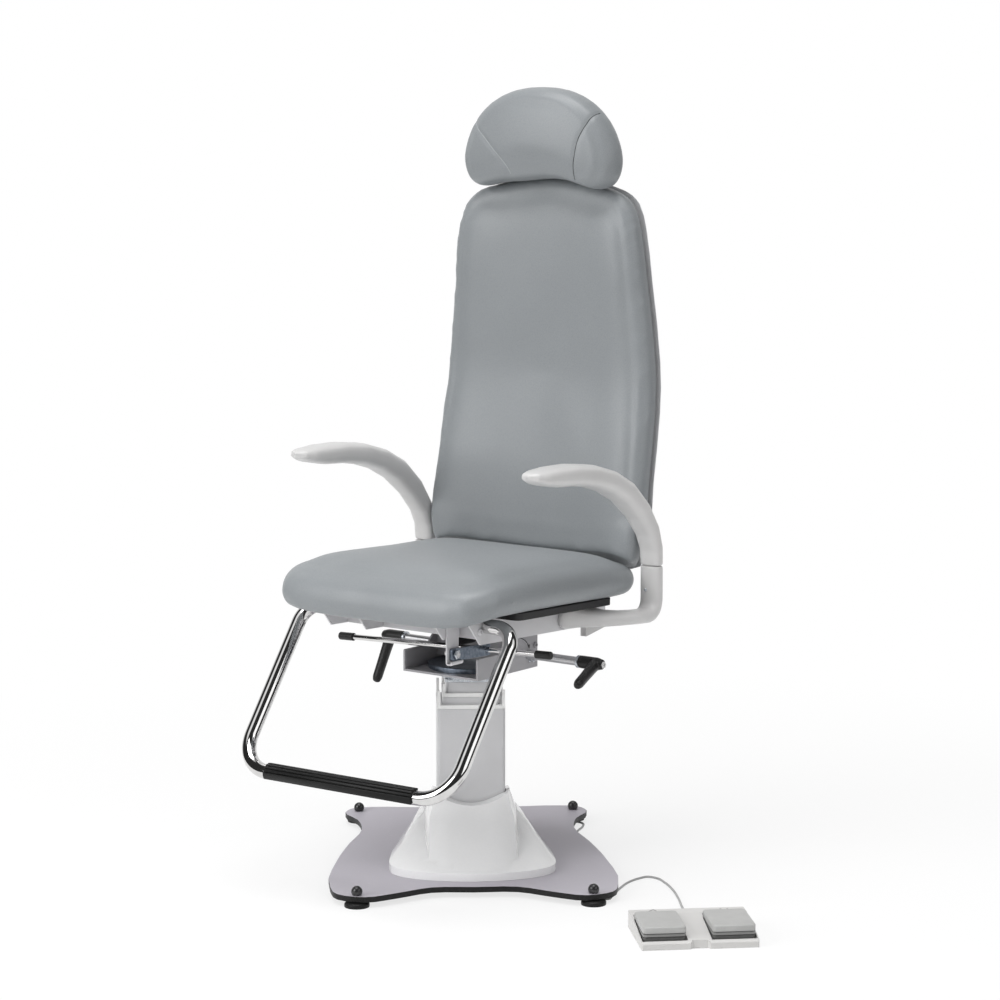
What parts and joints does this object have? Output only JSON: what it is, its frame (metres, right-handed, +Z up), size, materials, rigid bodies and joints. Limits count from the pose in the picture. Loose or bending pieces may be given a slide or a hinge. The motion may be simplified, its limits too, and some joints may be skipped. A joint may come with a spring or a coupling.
{
  "type": "examination chair",
  "caption": "Ear, nose and throat patient chair: lifting column on a footed plate, swivelling seat, reclining back, sliding headrest, swing-out arms, folding footrest and corded foot control.",
  "frame": {"origin": "on the floor under the middle of the footprint of the chair with its foot control, without the cord", "axes": "+Z up, the sitter faces -Y and has +X at the left hand, the base is turned 39 degrees about the column"},
  "size_m": [1.1083, 0.7896, 1.392],
  "materials": {
    "plate_paint": "satin",
    "black_rubber": "matte",
    "knob_black": "gloss",
    "white_shell": "gloss",
    "column_paint": "satin",
    "glide_white": "matte",
    "zinc": "zinc plated",
    "frame_paint": "satin",
    "board_black": "black stained plywood",
    "leather": "grained leatherette",
    "chrome": "polished",
    "tread_rubber": "ribbed",
    "shell_grey": "matte",
    "arm_grey": "soft integral skin",
    "lever_black": "satin",
    "pedal_grey": "matte",
    "pad_grey": "matte",
    "cord_grey": "matte"
  },
  "bodies": {
    "base": {"base_plate": "plate_paint", "foot_front_left": "black_rubber", "foot_front_right": "black_rubber", "foot_rear_left": "black_rubber", "foot_rear_right": "black_rubber", "knob_front_left": "knob_black", "knob_front_right": "knob_black", "knob_rear_left": "knob_black", "knob_rear_right": "knob_black", "column_cover": "white_shell", "column_outer": "column_paint", "glide_outer": "glide_white", "lift_actuator": "zinc", "cord_gland": "lever_black", "pedal_cord": "cord_grey", "pedal_housing": "pedal_grey"},
    "foot_pedal_up": {"pedal_up": "pad_grey"},
    "foot_pedal_down": {"pedal_down": "pad_grey"},
    "lift_mid": {"column_mid": "column_paint", "glide_mid": "glide_white"},
    "lift_inner": {"column_inner": "column_paint", "lift_rod": "chrome", "top_plate": "zinc", "swivel_bearing": "zinc", "swivel_disc": "zinc"},
    "carrier": {"swivel_bracket": "frame_paint", "clamp_tube": "frame_paint", "seat_rail_left": "frame_paint", "seat_rail_right": "frame_paint", "cross_member": "frame_paint", "seat_board": "board_black", "seat_cushion": "leather", "release_hook": "frame_paint", "gas_cylinder": "lever_black", "hinge_pin": "zinc", "footrest_rod": "zinc", "arm_bracket_left": "arm_grey", "arm_bracket_right": "arm_grey", "arm_pin_left": "zinc", "arm_pin_right": "zinc"},
    "armrest_left": {"arm_left": "arm_grey"},
    "armrest_right": {"arm_right": "arm_grey"},
    "footrest": {"footrest_tube": "chrome", "footrest_tread": "tread_rubber"},
    "release": {"release_bar": "chrome", "release_arm": "zinc", "release_cap_left": "lever_black", "release_cap_right": "lever_black"},
    "lever_left": {"clamp_lever_left": "lever_black"},
    "lever_right": {"clamp_lever_right": "lever_black"},
    "spring_rod": {"gas_rod": "chrome"},
    "back": {"back_arm_left": "frame_paint", "back_arm_right": "frame_paint", "recline_pin": "zinc", "back_shell": "shell_grey", "back_cushion": "leather", "headrest_guide": "lever_black"},
    "headrest": {"headrest_carrier": "zinc", "headrest_cushion": "leather"}
  },
  "joints": [
    {"name": "lift_mid_slide", "type": "slide", "parent": "base", "child": "lift_mid", "axis": [0, 0, 1], "range_m": [0, 0.09]},
    {"name": "lift_inner_slide", "type": "slide", "parent": "lift_mid", "child": "lift_inner", "axis": [0, 0, 1], "range_m": [0, 0.09]},
    {"name": "seat_swivel", "type": "hinge", "parent": "lift_inner", "child": "carrier", "pos_m": [-0.177, -0.002, 0.355], "axis": [0, 0, 1], "continuous": true},
    {"name": "back_recline", "type": "hinge", "parent": "carrier", "child": "back", "pos_m": [-0.177, 0.24896, 0.46126], "axis": [-1, 0, 0], "range_deg": [0, 60]},
    {"name": "spring_rod_slide", "type": "slide", "parent": "carrier", "child": "spring_rod", "axis": [0, -1, 0], "range_m": [0, 0.05]},
    {"name": "headrest_slide", "type": "slide", "parent": "back", "child": "headrest", "axis": [0, 0, 1], "range_m": [0, 0.1]},
    {"name": "arm_left_swing", "type": "hinge", "parent": "carrier", "child": "armrest_left", "pos_m": [-0.435, 0.197, 0.543], "axis": [0, 0, -1], "range_deg": [0, 90]},
    {"name": "arm_right_swing", "type": "hinge", "parent": "carrier", "child": "armrest_right", "pos_m": [0.081, 0.197, 0.543], "axis": [0, 0, 1], "range_deg": [0, 90]},
    {"name": "footrest_fold", "type": "hinge", "parent": "carrier", "child": "footrest", "pos_m": [-0.177, -0.17828, 0.47618], "axis": [1, 0, 0], "range_deg": [0, 40]},
    {"name": "release_lift", "type": "hinge", "parent": "carrier", "child": "release", "pos_m": [-0.177, -0.17, 0.417], "axis": [1, 0, 0], "range_deg": [0, 8], "stiffness_Nm_per_rad": 20, "springref_deg": -5.73},
    {"name": "lever_left_turn", "type": "hinge", "parent": "carrier", "child": "lever_left", "pos_m": [-0.177, 0.0595, 0.381], "axis": [1, 0, 0], "range_deg": [-40, 40]},
    {"name": "lever_right_turn", "type": "hinge", "parent": "carrier", "child": "lever_right", "pos_m": [-0.177, 0.0595, 0.381], "axis": [1, 0, 0], "range_deg": [-40, 40]},
    {"name": "pedal_up_press", "type": "hinge", "parent": "base", "child": "foot_pedal_up", "pos_m": [0.36449, -0.20269, 0.02], "axis": [0.7254, 0.6884, 0], "range_deg": [0, 4], "stiffness_Nm_per_rad": 30, "springref_deg": -2.86},
    {"name": "pedal_down_press", "type": "hinge", "parent": "base", "child": "foot_pedal_down", "pos_m": [0.45008, -0.12147, 0.02], "axis": [0.7254, 0.6884, 0], "range_deg": [0, 4], "stiffness_Nm_per_rad": 30, "springref_deg": -2.86}
  ],
  "couplings": [
    {"joint": "lift_inner_slide", "follows": "lift_mid_slide", "ratio": 1},
    {"joint": "spring_rod_slide", "follows": "back_recline", "m_per_rad": 0.047746}
  ]
}
